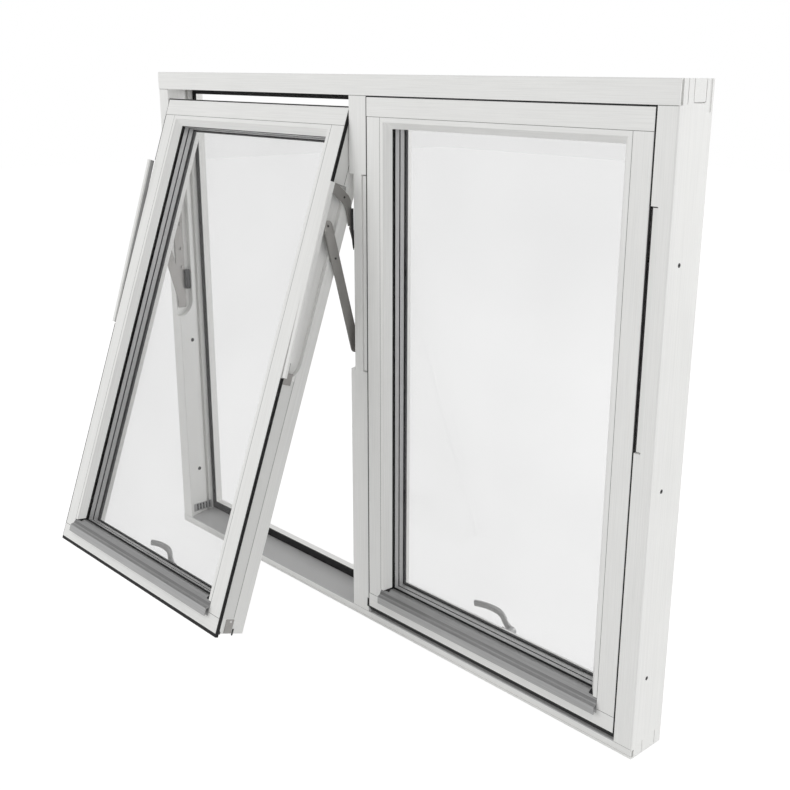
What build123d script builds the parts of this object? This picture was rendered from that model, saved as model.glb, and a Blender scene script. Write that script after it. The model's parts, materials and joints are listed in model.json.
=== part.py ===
"""Outward-opening timber window with two lights, in millimetres.

The origin is on the underside of the sill, midway across and through the frame. X points to
the right as seen from outdoors, Y points indoors and Z points up. The left sash stands
open, with its foot pushed out, and the right sash is closed.
"""
from math import atan2, degrees, hypot
import os

from build123d import *

os.makedirs("parts", exist_ok=True)

# Frame
frame_w = 1890.0
frame_h = 1490.0
frame_d = 115.0
face_w = 50.0
mullion_w = 66.0
stop_w = 14.0
seal_t = 4.0
arris_r = 4.0
inner_arris_r = 2.0
step_d = 16.0
step_in = 1.5
lock_groove_d = 62.0
lock_groove_w = 11.0
lock_groove_in = 12.0

# Fine joint lines between the members on their outdoor faces
joint_w = 1.3
joint_in = 2.5

# Lines and slots of the comb joints on the ends of head and sill
line_w = 1.8
line_in = 5.0
front_slot_d = 3.0
front_slot_w = 8.0
front_slot_in = 10.0
back_slot_d = 101.0
first_line_d = 26.0
second_line_d = 41.0
third_line_d = 90.0
comb_d = 46.0
comb_w = 44.0
comb_r = 6.0

# Sill
sill_lip_h = 26.0
sill_h = 64.0
sill_line_z = 8.0
slope_fold = 48.0
slope_fold_z = 35.0
slope_back_z = 38.5
cover_t = 1.5
block_t = 0.6
block_z = 43.0
block_h = 27.0
block_front = 10.0
block_back_gap = 8.0
rib_w = 5.0
rib_count = 6

# Sashes
gap = 3.5
sash_d = 88.0
sash_foot_z = 44.0
rail_w = 49.0
top_rail_w = 46.0
foot_rail_w = 41.0
foot_face_w = 31.0
sight_w = 77.0
rebate_d = 64.0
lip_bevel = 7.0
edge_groove_d = 47.0
edge_groove_w = 1.6
edge_seal_d = 1.0
edge_seal_w = 8.5
edge_seal_out = 3.2
foot_seal_out = 9.0

# Glazing unit and beads
unit_edge_w = 56.0
glass_front = 24.0
glass_t = 4.0
cavity_t = 13.0
bead_back = 18.0
bead_tail = 8.0
bead_face_w = 12.5
bead_step = 1.2
bead_fit = 1.3
bead_end_h = 70.0
bead_end_rate = 0.59
nose_out = 12.0
nose_h = 20.4
bead_t = 2.0
cove_d = 3.8
cove_rise = 4.4
cove_r = 8.0
slope_foot_h = 64.3
slope_top_d = 11.6
slope_top_h = 75.2
foot_seal_h = 80.0
wedge_d = 5.0

# Open sash
open_tilt = 19.7
open_drop = 27.0
open_inset = 4.8

# Hinge pockets and cover strips, the pockets' ends measured down from the top of the frame
pocket_foot_drop = 760.0
pocket_head_drop = 243.0
pocket_in = 18.0
pocket_d = 50.0
sash_pocket_in = 12.0
sash_pocket_front = 10.0
sash_pocket_back = 57.0
strip_gap = 7.5
strip_w = 13.5
strip_t = 5.0
strip_web_t = 2.0
strip_web_d = 9.0
strip_step = 1.2
strip_end_gap = 3.0
strip_recess = 4.0
strip_tilt = 1.6

# Hinge gear, its points on the frame given as depth and height above the foot of the pockets,
# and those on the sash as depth and height above the sash's head
keep_t = 2.0
plate_t = 3.0
seat_gap = 0.3
arm_x = 2.6
stay_x = 6.0
frame_plate_x = 18.2
stay_w = 28.5
shut_stay_w = 26.0
stay_link_w = 30.0
link_w = 12.0
pin_r = 4.0
head_r = 5.5
screw_r = 3.0
stay_foot = (11.5, 58.0)
shut_stay_foot = (26.0, 58.0)
stay_pin = (22.5, -301.0)
stay_pin_share = 0.257
stay_link_share = 0.075
arm_upper_edge = ((10, -190), (24, -191), (45, -200), (66, -209), (78, -219), (90, -247), (101, -280))
arm_lower_edge = ((90, -283), (80, -263), (72, -249), (60, -236), (47, -229), (14, -218), (10, -216))
arm_screw = (53.0, -217.0)
link_head = (2.0, 378.0)
link_foot = (18.0, 326.0)
plate_corner = (4.0, 26.0)
plate_far_corner = (34.0, 370.0)
rivets = ((27.0, 157.0), (27.0, 217.0), (27.0, 296.0))
damper_corner = (31.0, 87.0)
damper_far_corner = (48.0, 148.0)
damper_t = 8.0

# Handles
lever_reach = 40.0
lever_rise = 32.0
lever_crank = 27.0
lever_turn_r = 18.0
lever_len = 136.0
lever_w = 17.0
lever_t = 10.0
hub_r = 12.0
hub_z = 44.0
rose_w = 30.0
rose_h = 46.0
rose_t = 8.0
turn_gap = 0.3
spindle_r = 3.5

# Fixing holes through the jambs
hole_r = 5.0
hole_d = 41.0
hole_heights = (195.0, 646.0, 1131.0)

outdoors = -frame_d / 2
stop_d = sash_d + seal_t
light_w = (frame_w - 2 * face_w - mullion_w) / 2
sash_w = light_w - 2 * gap
sash_head_z = frame_h - face_w - gap
sash_h = sash_head_z - sash_foot_z
light_x = (mullion_w + light_w) / 2
inner_w = face_w + stop_w
unit_d = 3 * glass_t + 2 * cavity_t
half_sash = sash_w / 2
half_clear = half_sash - rail_w
half_sight = half_sash - sight_w
foot = -sash_h
head_lift = rail_w - top_rail_w
pocket_foot_z = frame_h - pocket_foot_drop
pocket_head_z = frame_h - pocket_head_drop
lights = (("left", -light_x), ("right", light_x))
hands = (("left", -1), ("right", 1))
hem_z = sill_lip_h - cover_t
sill_slope = [
    (0, hem_z),
    (cover_t, hem_z),
    (cover_t, sill_lip_h),
    (slope_fold, slope_fold_z),
    (stop_d, slope_back_z),
    (stop_d, sill_h),
    (frame_d, sill_h),
]
head_underside = [
    (frame_d, frame_h - inner_w),
    (stop_d, frame_h - inner_w),
    (stop_d, frame_h - face_w + step_in),
    (step_d, frame_h - face_w + step_in),
    (step_d, frame_h - face_w),
    (0, frame_h - face_w),
]
upright_ends = sill_slope[2:] + head_underside[:-1] + [
    (joint_in, frame_h - face_w),
    (joint_in, frame_h - face_w - joint_w),
    (0, frame_h - face_w - joint_w),
    (0, hem_z + joint_w),
    (cover_t, hem_z + joint_w),
]


def bar_x(points, x0, x1, mode=Mode.ADD, rounds=()):
    """Bar along X. The points are Y and Z, and each round is a corner and its radius."""
    near_x = min(x0, x1)
    with BuildSketch(Plane.YZ.offset(near_x)) as section:
        with BuildLine():
            Polyline(*points, close=True)
        make_face()
        for corner, radius in rounds:
            fillet(section.vertices().sort_by_distance(corner)[0], radius)
    extrude(section.sketch, amount=abs(x1 - x0), mode=mode)


def bar_z(points, z0, z1, mode=Mode.ADD, rounds=()):
    """Bar along Z. The points are X and Y, and each round is a corner and its radius."""
    with BuildSketch(Plane.XY.offset(z0)) as section:
        with BuildLine():
            Polyline(*points, close=True)
        make_face()
        for corner, radius in rounds:
            fillet(section.vertices().sort_by_distance(corner)[0], radius)
    extrude(section.sketch, amount=z1 - z0, mode=mode)


def block(x0, x1, y0, y1, z0, z1, mode=Mode.ADD):
    """Square block between two corners."""
    with Locations(((x0 + x1) / 2, (y0 + y1) / 2, (z0 + z1) / 2)):
        Box(abs(x1 - x0), y1 - y0, z1 - z0, mode=mode)


def peg(x0, x1, centre, radius, mode=Mode.ADD):
    """Round peg or hole along X, its centre given as Y and Z."""
    with Locations(Location(((x0 + x1) / 2, centre[0], centre[1]), (0, 90, 0))):
        Cylinder(radius, abs(x1 - x0), mode=mode)


def strap(x0, x1, start, end, width):
    """Flat bar with round ends across X, from one centre to another."""
    run = hypot(end[0] - start[0], end[1] - start[1])
    angle = degrees(atan2(end[1] - start[1], end[0] - start[0]))
    middle = ((start[0] + end[0]) / 2, (start[1] + end[1]) / 2)
    with BuildSketch(Plane.YZ.offset(min(x0, x1))) as flat:
        with Locations(middle):
            SlotCenterToCenter(run, width, rotation=angle)
    extrude(flat.sketch, amount=abs(x1 - x0))


def pocket(x0, x1, y0, y1, z0, z1):
    """Routed hinge pocket, open to the front and rounded at its foot where the cutter turned."""
    corners = [(y0, z0), (y1, z0), (y1, z1), (y0, z1)]
    bar_x(corners, x0, x1, Mode.SUBTRACT, [((y1, z0), y1 - y0 - 1)])


def keep(piece, name, place=Location()):
    """Name one piece, put it in its place and write its file."""
    piece.part.label = name
    piece.part.locate(place)
    export_step(piece.part, f"parts/{name}.step")


def from_face(points):
    """Points given by their depth behind the outdoor face."""
    return [(outdoors + y, z) for y, z in points]


def end_line(end, depth, width, cut, z0, z1):
    """Upright line cut into one end of a member, end being -1 at the left and 1 at the right."""
    end_x = end * frame_w / 2
    block(end_x - end * cut, end_x + end, outdoors + depth, outdoors + depth + width, z0, z1, Mode.SUBTRACT)


def comb_outline(end):
    """Round-cornered outline of the comb on one end of the head."""
    end_x = end * frame_w / 2
    for inset, cut, mode in ((0, line_in, Mode.SUBTRACT), (line_w, line_in, Mode.ADD)):
        y0 = outdoors + comb_d + inset
        y1 = outdoors + comb_d + comb_w - inset
        z0 = frame_h - face_w + gap + inset
        turn_r = comb_r - inset
        out_x = end_x + end * (1 if mode == Mode.SUBTRACT else 0)
        z1 = frame_h + 1 if mode == Mode.SUBTRACT else frame_h
        corners = [(y0, z0), (y1, z0), (y1, z1), (y0, z1)]
        bar_x(corners, end_x - end * cut, out_x, mode, [((y1, z0), turn_r), ((y0, z0), turn_r)])


# Head
with BuildPart() as head:
    head_points = [(frame_d, frame_h)] + head_underside + [(0, frame_h)]
    bar_x(from_face(head_points), -frame_w / 2, frame_w / 2, rounds=[((outdoors, frame_h), arris_r)])
    for end in (-1, 1):
        joint_z = frame_h - face_w - 1
        end_line(end, front_slot_d, front_slot_w, front_slot_in, joint_z, frame_h + 1)
        end_line(end, first_line_d, line_w, line_in, joint_z, frame_h + 1)
        end_line(end, back_slot_d, front_slot_w, line_w, frame_h - inner_w - 1, frame_h + 1)
        comb_outline(end)
keep(head, "head")

# Sill
with BuildPart() as sill:
    sill_points = [(0, 0), (0, sill_line_z), (joint_in, sill_line_z), (joint_in, sill_line_z + joint_w)]
    sill_points += [(0, sill_line_z + joint_w)] + sill_slope + [(frame_d, 0)]
    bar_x(from_face(sill_points), -frame_w / 2, frame_w / 2, rounds=[((outdoors, 0), arris_r)])
    for end in (-1, 1):
        end_line(end, front_slot_d, front_slot_w, front_slot_in, arris_r, hem_z - bead_t)
        end_line(end, second_line_d, line_w, line_in, -1, slope_fold_z + 1)
        end_line(end, third_line_d, line_w, line_in, -1, sill_h + 1)
keep(sill, "sill")


def sill_cover(side, middle_x):
    """Grey cover on the sill's slope in one light, hemmed over the sill's front edge."""
    with BuildPart() as cover:
        under = sill_slope[:5]
        over = [(y, z + cover_t) for y, z in reversed(under[3:])] + [(0, sill_lip_h + cover_t)]
        bar_x(from_face(under + over), middle_x - light_w / 2, middle_x + light_w / 2)
    keep(cover, f"{side}_sill_cover")


def stop_seal(side, middle_x):
    """Rubber seal over the whole width of the stop of one light."""
    with BuildPart() as seal:
        y0 = outdoors + sash_d
        y1 = outdoors + stop_d
        outer = light_w / 2 + step_in
        inner = light_w / 2 - stop_w
        z0 = slope_back_z + cover_t
        z1 = frame_h - face_w + step_in
        block(middle_x - outer, middle_x + outer, y0, y1, z0, z1)
        clear_z1 = frame_h - inner_w
        block(middle_x - inner, middle_x + inner, y0 - 1, y1 + 1, sill_h, clear_z1, Mode.SUBTRACT)
    keep(seal, f"{side}_stop_seal")


def corner_blocks(side, middle_x):
    """Ribbed plastic blocks above the ends of one light's cover."""
    y1 = outdoors + step_d + bead_t / 2
    y2 = outdoors + sash_d - block_back_gap
    z1 = block_z + block_h
    rib_pitch = (y2 - y1 - rib_w) / (rib_count - 1)
    with BuildPart() as blocks:
        for hand, turn in hands:
            face_x = middle_x + turn * light_w / 2
            wall_x = face_x + turn * step_in
            rib_x = face_x - turn * block_t
            block(face_x, rib_x, outdoors + block_front, y1, block_z, z1)
            block(wall_x, wall_x - turn * block_t, y1, y2, block_z, z1)
            for rib in range(rib_count):
                y0 = y1 + rib_pitch * rib
                block(wall_x - turn * block_t, rib_x, y0, y0 + rib_w, block_z, z1)
    keep(blocks, f"{side}_corner_blocks")


for light_side, light_middle in lights:
    sill_cover(light_side, light_middle)
    stop_seal(light_side, light_middle)
    corner_blocks(light_side, light_middle)


def upright_side(half_w):
    """Plan of the side of an upright that faces a light, from the front to the back."""
    return [
        (half_w, 0),
        (half_w, step_d),
        (half_w - step_in, step_d),
        (half_w - step_in, lock_groove_d),
        (half_w - lock_groove_in, lock_groove_d),
        (half_w - lock_groove_in, lock_groove_d + lock_groove_w),
        (half_w - step_in, lock_groove_d + lock_groove_w),
        (half_w - step_in, stop_d),
        (half_w + stop_w, stop_d),
        (half_w + stop_w, frame_d),
    ]


def hinge_pocket(edge_x, turn):
    """Pocket in an upright, whose edge faces the light in the direction of turn."""
    deep_x = edge_x - turn * pocket_in
    pocket(edge_x + turn, deep_x, outdoors - 1, outdoors + pocket_d, pocket_foot_z, pocket_head_z)


def jamb(name, out_x, inward):
    """Upright side of the frame, inward being 1 for the left one and -1 for the right one."""
    edge_x = out_x + inward * face_w
    with BuildPart() as upright:
        plan = [(0, 0)] + upright_side(face_w) + [(0, frame_d)]
        corners = [((out_x, outdoors), arris_r), ((edge_x, outdoors), inner_arris_r)]
        bar_z([(out_x + inward * x, outdoors + y) for x, y in plan], 0, frame_h, rounds=corners)
        bar_x(from_face(upright_ends), -frame_w / 2, frame_w / 2, Mode.INTERSECT)
        hinge_pocket(edge_x, inward)
        for height in hole_heights:
            peg(out_x - inward, edge_x, (outdoors + hole_d, height), hole_r, Mode.SUBTRACT)
    keep(upright, name)


jamb("left_jamb", -frame_w / 2, 1)
jamb("right_jamb", frame_w / 2, -1)

# Mullion between the two lights
with BuildPart() as mullion:
    mullion_edge = mullion_w / 2
    right_side = upright_side(mullion_edge)
    left_side = [(-x, y) for x, y in reversed(right_side)]
    mullion_rounds = [((turn * mullion_edge, outdoors), inner_arris_r) for turn in (-1, 1)]
    bar_z([(x, outdoors + y) for x, y in right_side + left_side], 0, frame_h, rounds=mullion_rounds)
    bar_x(from_face(upright_ends), -frame_w / 2, frame_w / 2, Mode.INTERSECT)
    for turn in (-1, 1):
        hinge_pocket(turn * mullion_edge, turn)
keep(mullion, "mullion")

# From here on each piece belongs to a sash. X runs across the sash, Y is the depth behind its
# face and Z the height above its head, and the place moves the piece into the frame.


def rails(side, place):
    """Head rail across the whole width, and foot rail cut back for the foot bead."""
    with BuildPart() as top_rail:
        points = [(0, 0), (0, -top_rail_w), (rebate_d, -top_rail_w), (rebate_d, -sight_w)]
        points += [(sash_d, lip_bevel - sight_w), (sash_d, 0)]
        bar_x(points, -half_sash, half_sash, rounds=[((0, 0), inner_arris_r)])
    keep(top_rail, f"{side}_top_rail", place)
    with BuildPart() as bottom_rail:
        points = [(0, 0), (0, foot_rail_w), (rebate_d, foot_rail_w), (rebate_d, sight_w)]
        points += [(sash_d, sight_w - lip_bevel), (sash_d, 0)]
        corners = [((0, foot), inner_arris_r)]
        bar_x([(y, foot + z) for y, z in points], -half_sash, half_sash, rounds=corners)
        cut_z = foot + foot_face_w
        block(-half_clear, half_clear, -1, glass_front, cut_z, foot + foot_rail_w + 1, Mode.SUBTRACT)
        setting_z = foot + unit_edge_w - bead_t
        block(-half_clear, half_clear, glass_front, rebate_d, cut_z, setting_z)
    keep(bottom_rail, f"{side}_bottom_rail", place)


def stiles(side, place):
    """Sides of the sash between the rails, with a groove and a hinge pocket in each edge."""
    plan = [
        (0, 0),
        (rail_w, 0),
        (rail_w, rebate_d),
        (sight_w, rebate_d),
        (sight_w - lip_bevel, sash_d),
        (0, sash_d),
        (0, edge_groove_d + edge_groove_w),
        (edge_groove_w, edge_groove_d + edge_groove_w),
        (edge_groove_w, edge_groove_d),
        (0, edge_groove_d),
    ]
    ends = [(joint_in, -top_rail_w), (rebate_d, -top_rail_w), (rebate_d, -sight_w)]
    ends += [(sash_d, lip_bevel - sight_w), (sash_d, foot + sight_w - lip_bevel)]
    ends += [(rebate_d, foot + sight_w), (rebate_d, foot + foot_rail_w), (joint_in, foot + foot_rail_w)]
    ends += [(joint_in, foot + foot_rail_w + joint_w), (0, foot + foot_rail_w + joint_w)]
    ends += [(0, -top_rail_w - joint_w), (joint_in, -top_rail_w - joint_w)]
    z0 = pocket_foot_z - sash_head_z
    z1 = pocket_head_z - sash_head_z
    for hand, turn in hands:
        with BuildPart() as stile:
            corners = [((turn * half_sash, 0), inner_arris_r)]
            bar_z([(turn * (half_sash - x), y) for x, y in plan], foot, 0, rounds=corners)
            bar_x(ends, -half_sash, half_sash, Mode.INTERSECT)
            deep_x = turn * (half_sash - sash_pocket_in)
            pocket(turn * (half_sash + 1), deep_x, sash_pocket_front, sash_pocket_back, z0, z1)
        keep(stile, f"{side}_{hand}_stile", place)


def bead_section():
    """Section of a glazing bead, as depth and distance from the sash's edge."""
    return [
        (0, rail_w + bead_fit),
        (0, rail_w + bead_face_w),
        (bead_step, rail_w + bead_face_w + bead_step / 3),
        (bead_back - 1, sight_w),
        (bead_back, sight_w),
        (bead_back, rail_w + bead_tail),
        (glass_front - 1, rail_w + bead_tail),
        (glass_front - 1, rail_w),
        (joint_in, rail_w),
        (joint_in, rail_w + bead_fit),
    ]


def cut_outline(points):
    """Keep only what lies within an outline drawn on the sash's face."""
    with BuildSketch(Plane.XZ) as outline:
        with BuildLine():
            Polyline(*points, close=True)
        make_face()
    extrude(outline.sketch, amount=sash_d, both=True, mode=Mode.INTERSECT)


def bead_end_z(depth):
    """Height at one depth of the slanting end of a side bead."""
    return foot + bead_end_h + depth * bead_end_rate


def beads(side, place):
    """Glazing beads, mitred at the head and cut slanting above the foot bead."""
    mitre_z = head_lift - sight_w
    with BuildPart() as top_bead:
        bar_x([(y, head_lift - z) for y, z in bead_section()], -half_sash, half_sash)
        out_corners = [(-half_clear, -top_rail_w), (half_clear, -top_rail_w)]
        cut_outline(out_corners + [(half_sight, mitre_z), (-half_sight, mitre_z)])
    keep(top_bead, f"{side}_top_bead", place)
    slant = [(-1, foot), (-1, bead_end_z(-1)), (glass_front, bead_end_z(glass_front)), (glass_front, foot)]
    for hand, turn in hands:
        with BuildPart() as side_bead:
            bar_z([(turn * (half_sash - x), y) for y, x in bead_section()], foot, 0)
            in_corners = [(turn * half_sight, mitre_z), (turn * half_sight, foot)]
            cut_outline([(turn * half_clear, -top_rail_w)] + in_corners + [(turn * half_clear, foot)])
            bar_x(slant, -half_sash, half_sash, Mode.SUBTRACT)
        keep(side_bead, f"{side}_{hand}_bead", place)


def foot_bead(side, place):
    """Foot bead with a hollow nose, a cove above it, a slope and a level edge at the glass."""
    bead_foot = foot + foot_face_w
    nose_top = bead_foot + nose_h
    cove_z = nose_top + cove_rise
    slope_end = glass_front - bead_t
    with BuildPart() as bead:
        section = [
            (-nose_out, bead_foot),
            (-nose_out, nose_top),
            (-cove_d, cove_z),
            (0, foot + slope_foot_h),
            (slope_top_d, foot + slope_top_h),
            (slope_end, foot + slope_top_h),
            (slope_end, foot + slope_top_h - bead_t),
            (slope_top_d + bead_t / 2, foot + slope_top_h - bead_t),
            (bead_t, foot + slope_foot_h - bead_t / 2),
            (bead_t, bead_foot),
            (0, bead_foot),
            (-bead_t, cove_z - bead_t),
            (bead_t - nose_out, nose_top - bead_t),
            (bead_t - nose_out, bead_foot),
        ]
        rounds = [
            ((-nose_out, nose_top), bead_t / 2),
            ((-cove_d, cove_z), cove_r),
            ((0, foot + slope_foot_h), bead_t),
            ((slope_top_d, foot + slope_top_h), bead_t),
        ]
        bar_x(section, -half_clear, half_clear, rounds=rounds)
    keep(bead, f"{side}_foot_bead", place)


def glazing_unit(side, place):
    """Three panes with the spacer bars between them."""
    half_unit = half_sash - unit_edge_w
    z0 = foot + unit_edge_w
    for order, name in enumerate(("outer_pane", "middle_pane", "inner_pane")):
        y0 = glass_front + order * (glass_t + cavity_t)
        with BuildPart() as pane:
            block(-half_unit, half_unit, y0, y0 + glass_t, z0, -unit_edge_w)
        keep(pane, f"{side}_{name}", place)
    with BuildPart() as spacers:
        for order in (0, 1):
            y0 = glass_front + glass_t + order * (glass_t + cavity_t)
            y1 = y0 + cavity_t
            clear_z0 = foot + sight_w - 1
            clear_z1 = head_lift - sight_w + 1
            block(-half_unit, half_unit, y0, y1, z0, -unit_edge_w)
            block(-half_sight, half_sight, y0, y1, clear_z0, clear_z1, Mode.SUBTRACT)
    keep(spacers, f"{side}_spacers", place)


def glazing_seals(side, place):
    """Black seals before and behind the glazing unit, with pads under the side beads."""
    outer = half_clear - bead_tail
    unit_back = glass_front + unit_d
    seal_front = glass_front - bead_t
    shelf_z = foot + slope_top_h
    sight_z0 = foot + sight_w
    sight_z1 = head_lift - sight_w
    pad = [
        (wedge_d, foot + slope_foot_h + wedge_d),
        (wedge_d, bead_end_z(wedge_d)),
        (bead_back, bead_end_z(bead_back)),
        (bead_back, shelf_z),
        (slope_top_d, shelf_z),
    ]
    with BuildPart() as seals:
        block(-outer, outer, bead_back, glass_front, shelf_z, -top_rail_w - bead_tail)
        block(-half_sight, half_sight, bead_back, glass_front, foot, sight_z1, Mode.SUBTRACT)
        block(-outer, outer, seal_front, glass_front, shelf_z - bead_t, foot + foot_seal_h)
        for hand, turn in hands:
            bar_x(pad, turn * half_sight, turn * (half_clear - bead_fit))
        block(-outer, outer, unit_back, rebate_d, sight_z0 - bead_t, -top_rail_w - bead_tail)
        block(-half_sight, half_sight, unit_back, rebate_d, sight_z0, sight_z1, Mode.SUBTRACT)
    keep(seals, f"{side}_glazing_seals", place)


def edge_seal(side, place):
    """Black seal round the sash's edge, deeper under the foot and left out at the hinge pockets."""
    outer = half_sash + edge_seal_out
    y1 = edge_seal_d + edge_seal_w
    z0 = pocket_foot_z - sash_head_z
    z1 = pocket_head_z - sash_head_z
    with BuildPart() as seal:
        block(-outer, outer, edge_seal_d, y1, foot - foot_seal_out, edge_seal_out)
        block(-half_sash, half_sash, edge_seal_d, y1, foot, 0, Mode.SUBTRACT)
        block(-outer, outer, edge_seal_d, y1, z0, z1, Mode.SUBTRACT)
    keep(seal, f"{side}_edge_seal", place)


def strips(side, place, tilt, recess):
    """White strips that fill the notches of the uprights, each held at its foot."""
    z0 = pocket_foot_z + strip_end_gap - sash_head_z
    z1 = pocket_head_z - strip_end_gap - sash_head_z
    for hand, turn in hands:
        with BuildPart() as strip:
            near_x = turn * (half_sash + strip_gap)
            far_x = turn * (half_sash + strip_gap + strip_w)
            web_x = far_x - turn * strip_web_t
            block(near_x, web_x, 0, strip_t, 0, z1 - z0)
            block(web_x, far_x, strip_step, strip_t, 0, z1 - z0)
            web_z = pocket_d - strip_web_d
            block(web_x, far_x, strip_t, strip_t + strip_web_d, web_z, z1 - z0)
        turned = place * Location((0, recess, z0), (tilt, 0, 0))
        keep(strip, f"{side}_{hand}_strip", turned)


def brackets(side, place, recess):
    """Bent metal brackets between the sash's edges and the feet of the strips."""
    z0 = pocket_foot_z + strip_end_gap - sash_head_z
    y0 = recess + strip_t + seat_gap
    y1 = edge_seal_d + edge_seal_w + seat_gap
    with BuildPart() as pair:
        for hand, turn in hands:
            root_x = turn * half_sash
            flange_x = turn * (half_sash + strip_web_t)
            far_x = turn * (half_sash + strip_gap + strip_w - strip_web_t - seat_gap)
            block(root_x, flange_x, y1, y1 + 2 * strip_w, z0 - 2 * strip_web_d, z0 + strip_w)
            block(root_x + turn * arm_x, far_x, y0, y1 + strip_web_t, z0, z0 + strip_w)
            block(root_x, root_x + turn * arm_x, y1, y1 + strip_web_t, z0, z0 + strip_w)
    keep(pair, f"{side}_strip_brackets", place)


def lock_keeps(side, place):
    """Small metal keeps on the sash's edges beside the foot rail."""
    z0 = foot + bead_t
    z1 = foot + foot_rail_w - bead_t
    y1 = edge_groove_d + bead_t
    y0 = y1 - 2 * hub_r
    with BuildPart() as pair:
        for hand, turn in hands:
            root_x = turn * half_sash
            far_x = turn * (half_sash + keep_t)
            block(root_x, far_x, y0, y1, z0, z1)
            peg(root_x, far_x + turn * seat_gap, ((y0 + y1) / 2, (z0 + z1) / 2), pin_r)
    keep(pair, f"{side}_lock_keeps", place)


def rose(side, place):
    """Rounded plate that carries the handle on the inner face of the foot rail."""
    with BuildPart() as plate:
        with BuildSketch(Plane.XZ.offset(-sash_d)):
            with Locations((0, foot + hub_z)):
                RectangleRounded(rose_w, rose_h, rose_w / 2 - 1)
        extrude(amount=-rose_t)
        with Locations(Location((0, sash_d + rose_t / 2, foot + hub_z), (90, 0, 0))):
            Cylinder(spindle_r + turn_gap, rose_t + 1, mode=Mode.SUBTRACT)
    keep(plate, f"{side}_handle_rose", place)


def lever(side, place):
    """Cranked lever, lying across the sash when it is shut."""
    hub_y = sash_d + rose_t + turn_gap
    lever_y = sash_d + lever_reach
    back_y = lever_y + lever_t / 2
    with BuildPart() as handle:
        with Locations(Location((0, (hub_y + back_y) / 2, 0), (90, 0, 0))):
            Cylinder(hub_r, back_y - hub_y)
        with Locations(Location((0, sash_d + (rose_t + turn_gap) / 2 + 1, 0), (90, 0, 0))):
            Cylinder(spindle_r, rose_t + turn_gap - 1)
        with BuildLine(Plane.XZ.offset(-lever_y)) as spine:
            FilletPolyline((0, 0), (-lever_crank, lever_rise), (-lever_len, lever_rise), radius=lever_turn_r)
        with BuildSketch(Plane(origin=spine.line @ 0, x_dir=(0, 1, 0), z_dir=spine.line % 0)):
            RectangleRounded(lever_t, lever_w, lever_t / 2 - 1)
        sweep()
    keep(handle, f"{side}_handle_lever", place * Location((0, 0, foot + hub_z)))


def sash(side, place, tilt, recess):
    """All pieces of one sash, whose strips lean out by tilt or sit back by recess."""
    rails(side, place)
    stiles(side, place)
    beads(side, place)
    foot_bead(side, place)
    glazing_unit(side, place)
    glazing_seals(side, place)
    edge_seal(side, place)
    strips(side, place, tilt, recess)
    brackets(side, place, recess)
    lock_keeps(side, place)
    rose(side, place)
    lever(side, place)


# The open sash hangs a little lower than the closed one and leans out at its foot
open_place = Location((-light_x, outdoors + open_inset, sash_head_z - open_drop), (-open_tilt, 0, 0))
closed_place = Location((light_x, outdoors, sash_head_z))
sash("left", open_place, strip_tilt, 0)
sash("right", closed_place, 0, strip_recess)


def on_frame(place, point):
    """Y and Z in the frame of a point given by its depth and height on a sash."""
    spot = (place * Location((0, point[0], point[1]))).position
    return (spot.Y, spot.Z)


def between(start, end, share):
    """Point at a share of the way from one point to another."""
    return tuple(from_value + share * (to_value - from_value) for from_value, to_value in zip(start, end))


def in_pocket(point):
    """Y and Z of a point given by its depth and its height above the foot of the pockets."""
    return (outdoors + point[0], pocket_foot_z + point[1])


def plate_outline(corner, far_corner):
    """Four corners of an upright plate, from its lower front corner and the one opposite."""
    y0, z0 = in_pocket(corner)
    y1, z1 = in_pocket(far_corner)
    return [(y0, z0), (y1, z0), (y1, z1), (y0, z1)]


def stays(side, place, middle_x, foot_point, width):
    """Straight stays between the frame's pockets and the sash's edges, each with a short link."""
    foot_pin = in_pocket(foot_point)
    head_pin = on_frame(place, stay_pin)
    link_pin = between(head_pin, foot_pin, stay_pin_share)
    link_top = between(head_pin, foot_pin, stay_link_share)
    for hand, turn in hands:
        edge_x = middle_x + turn * half_sash
        near_x = edge_x + turn * stay_x
        far_x = near_x + turn * plate_t
        link_x = edge_x + turn * arm_x
        with BuildPart() as stay:
            strap(near_x, far_x, foot_pin, head_pin, width)
            peg(near_x, edge_x + turn * frame_plate_x, foot_pin, pin_r)
            peg(edge_x - turn * sash_pocket_in, far_x + turn, head_pin, pin_r)
            strap(link_x, link_x + turn * plate_t, link_top, link_pin, width + stay_link_w - stay_w)
            peg(link_x, far_x + turn, link_pin, screw_r)
        keep(stay, f"{side}_{hand}_stay")


def arms(side, place, middle_x):
    """Cranked plates screwed to the sash's edges, which guide its head."""
    outline = [on_frame(place, point) for point in arm_upper_edge + arm_lower_edge]
    screw = on_frame(place, arm_screw)
    for hand, turn in hands:
        edge_x = middle_x + turn * half_sash
        near_x = edge_x + turn * arm_x
        far_x = near_x + turn * plate_t
        with BuildPart() as arm:
            bar_x(outline, near_x, far_x)
            peg(edge_x - turn * sash_pocket_in, far_x + turn, screw, screw_r)
        keep(arm, f"{side}_{hand}_arm")


def frame_plates(side, middle_x):
    """Plates in the frame's pockets, each with rivets, a damper and the link to an arm."""
    corners = plate_outline(plate_corner, plate_far_corner)
    damper = plate_outline(damper_corner, damper_far_corner)
    head_end = in_pocket(link_head)
    foot_end = in_pocket(link_foot)
    for hand, turn in hands:
        edge_x = middle_x + turn * half_sash
        near_x = edge_x + turn * frame_plate_x
        far_x = near_x + turn * plate_t
        link_x = edge_x + turn * (arm_x + plate_t + seat_gap)
        with BuildPart() as plate:
            bar_x(corners, near_x, far_x, rounds=[(corner, head_r) for corner in corners])
            bar_x(damper, far_x, near_x - turn * damper_t)
            for rivet in rivets:
                peg(near_x - turn * plate_t, near_x, in_pocket(rivet), head_r)
            strap(link_x, link_x + turn * plate_t, foot_end, head_end, link_w)
            peg(link_x, near_x, foot_end, pin_r)
        keep(plate, f"{side}_{hand}_frame_plate")


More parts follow.
